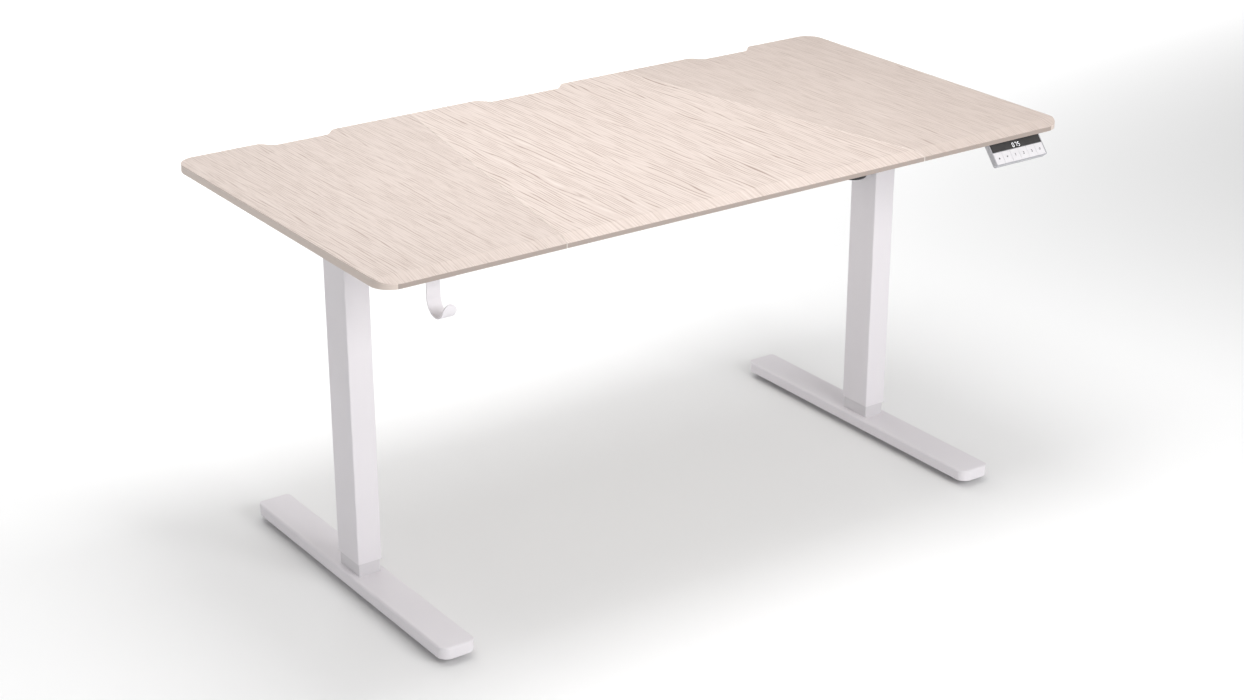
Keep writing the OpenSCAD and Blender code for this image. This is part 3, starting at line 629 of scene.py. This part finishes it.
# ---- motor: bands round the can and screws in its end ----
def motor_details():
    """Two raised bands round the motor can and three screws in its end cap."""
    low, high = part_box("motor_can")
    middle = (low + high) / 2
    radius = (high.x - low.x) / 2
    bm = bmesh.new()
    for height in (low.z + 6 * MM, high.z - 8 * MM):
        place = Matrix.Translation((middle.x, middle.y, height))
        ring = [(radius - 1 * MM, 0), (radius + 0.5 * MM, 0.2 * MM), (radius + 0.5 * MM, 1.8 * MM),
                (radius - 1 * MM, 2 * MM)]
        lathe(bm, ring, place, 64)
    bands = mesh_of(bm, "motor_bands")
    add_piece("motor_bands", bands, [MATERIALS["black_metal"]], "top_frame")
    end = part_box("motor_end_cap")[0]
    bm = bmesh.new()
    for i in range(3):
        turn = radians(30 + 120 * i)
        spot = Vector((middle.x + 19 * MM * cos(turn), middle.y + 19 * MM * sin(turn), end.z))
        head = [(3 * MM, 0.4 * MM), (3 * MM, -0.8 * MM), (2.4 * MM, -1.4 * MM), (1.3 * MM, -1.5 * MM),
                (1.3 * MM, -0.5 * MM)]
        lathe(bm, head, Matrix.Translation(spot), 20)
    screws = mesh_of(bm, "motor_end_screws")
    add_piece("motor_end_screws", screws, [MATERIALS["zinc_steel"]], "top_frame")


motor_details()


# ---- stage, light and camera ----
EYE = (-2.4149, -3.3990, 2.0889)
AZIMUTH = radians(-34.867)
ELEVATION = radians(23.459)
ROLL = radians(-0.142)
FOCAL_MM = 67.43


def floor():
    """A wide plain floor, just under the glides."""
    bm = bmesh.new()
    bmesh.ops.create_grid(bm, x_segments=1, y_segments=1, size=20)
    bmesh.ops.translate(bm, verts=bm.verts, vec=Vector((0, 0, -0.2 * MM)))
    mesh = mesh_of(bm, "floor")
    paint = Paint("pale_floor", 0.9, specular=0.1)
    paint.shader.inputs["Base Color"].default_value = (0.9, 0.9, 0.9, 1.0)
    mesh.materials.append(paint.material)
    plane = bpy.data.objects.new("floor", mesh)
    SCENE.collection.objects.link(plane)


def soft_light(name, place, target, size, power, spread=180):
    """A rectangular soft box that the camera doesn't see."""
    data = bpy.data.lights.new(name, "AREA")
    data.shape = "RECTANGLE"
    data.size, data.size_y = size
    data.energy = power
    data.spread = radians(spread)
    light = bpy.data.objects.new(name, data)
    light.location = place
    light.rotation_mode = "QUATERNION"
    light.rotation_quaternion = (Vector(target) - Vector(place)).to_track_quat("-Z", "Y")
    light.visible_camera = False
    SCENE.collection.objects.link(light)


def camera():
    """A long lens at the front left, above the top."""
    back = Vector((sin(AZIMUTH) * cos(ELEVATION), -cos(AZIMUTH) * cos(ELEVATION), sin(ELEVATION)))
    level = Vector((cos(AZIMUTH), sin(AZIMUTH), 0))
    upright = back.cross(level)
    right = cos(ROLL) * level + sin(ROLL) * upright
    up = cos(ROLL) * upright - sin(ROLL) * level
    data = bpy.data.cameras.new("camera")
    data.lens = FOCAL_MM
    data.sensor_width = 36
    data.shift_x = 0.01005
    data.shift_y = 0.01642
    data.clip_end = 60
    eye = bpy.data.objects.new("camera", data)
    turn = Matrix((right, up, back)).transposed().to_4x4()
    eye.matrix_world = Matrix.Translation(EYE) @ turn
    SCENE.collection.objects.link(eye)
    SCENE.camera = eye


floor()
soft_light("overhead_wide", (-0.3, 0.1, 3.0), (-0.3, 0.1, 0.7), (2.8, 1.9), 23)
soft_light("overhead_close", (0.0, -0.1, 2.4), (0.0, -0.1, 0.7), (1.2, 0.8), 21)
soft_light("front", (0.3, -3.2, 2.0), (0, 0, 0.5), (1.8, 1.3), 56)
soft_light("rear", (0.3, 3.0, 2.4), (0, 0, 0.7), (2.6, 1.4), 20)
soft_light("backdrop", (2.4, 4.2, 3.4), (2.4, 4.2, 0), (9.0, 3.2), 210, spread=80)
SCENE.world = bpy.data.worlds.new("studio")
SCENE.world.use_nodes = True
sky = SCENE.world.node_tree.nodes["Background"]
sky.inputs["Color"].default_value = (1.0, 1.0, 1.0, 1.0)
sky.inputs["Strength"].default_value = 0.49
SCENE.view_settings.view_transform = "Standard"
camera()
